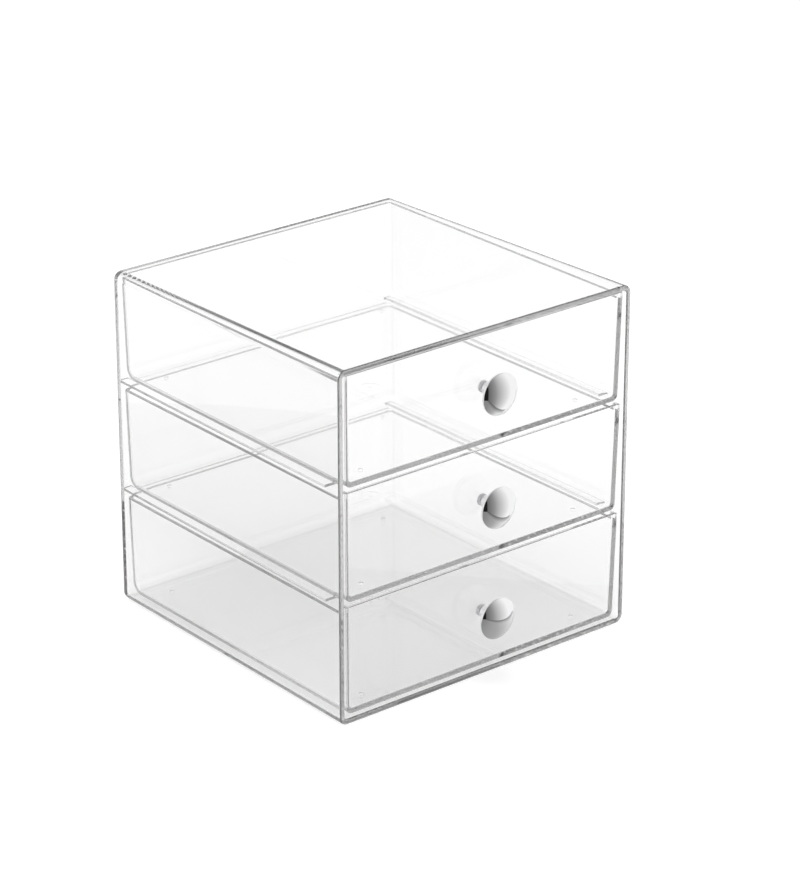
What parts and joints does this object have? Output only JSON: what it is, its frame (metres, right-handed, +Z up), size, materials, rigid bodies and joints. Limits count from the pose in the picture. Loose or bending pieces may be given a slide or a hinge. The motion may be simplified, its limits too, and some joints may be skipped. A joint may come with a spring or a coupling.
{
  "type": "drawer tower",
  "caption": "Clear open-fronted plastic case holding a stack of pull-out drawer tubs, each with a round domed chrome knob.",
  "frame": {"origin": "centre of the case's flat underside", "axes": "+Z up, -Y out of the open front, the way the drawers pull, +X to the right when facing the front"},
  "size_m": [0.1778, 0.1904, 0.1778],
  "materials": {
    "clear_plastic": "clear polished polystyrene, see-through",
    "chrome": "bright polished chrome plate",
    "screw_steel": "zinc-plated steel"
  },
  "bodies": {
    "housing": {"case": "clear_plastic", "rail_middle_left": "clear_plastic", "rail_middle_right": "clear_plastic", "rail_top_left": "clear_plastic", "rail_top_right": "clear_plastic"},
    "bottom_drawer": {"drawer_bottom": "clear_plastic", "knob_bottom": "chrome", "screw_bottom": "screw_steel"},
    "middle_drawer": {"drawer_middle": "clear_plastic", "knob_middle": "chrome", "screw_middle": "screw_steel"},
    "top_drawer": {"drawer_top": "clear_plastic", "knob_top": "chrome", "screw_top": "screw_steel"}
  },
  "joints": [
    {"name": "bottom_drawer_slide", "type": "slide", "parent": "housing", "child": "bottom_drawer", "axis": [0, -1, 0], "range_m": [0, 0.14]},
    {"name": "middle_drawer_slide", "type": "slide", "parent": "housing", "child": "middle_drawer", "axis": [0, -1, 0], "range_m": [0, 0.14]},
    {"name": "top_drawer_slide", "type": "slide", "parent": "housing", "child": "top_drawer", "axis": [0, -1, 0], "range_m": [0, 0.14]}
  ]
}
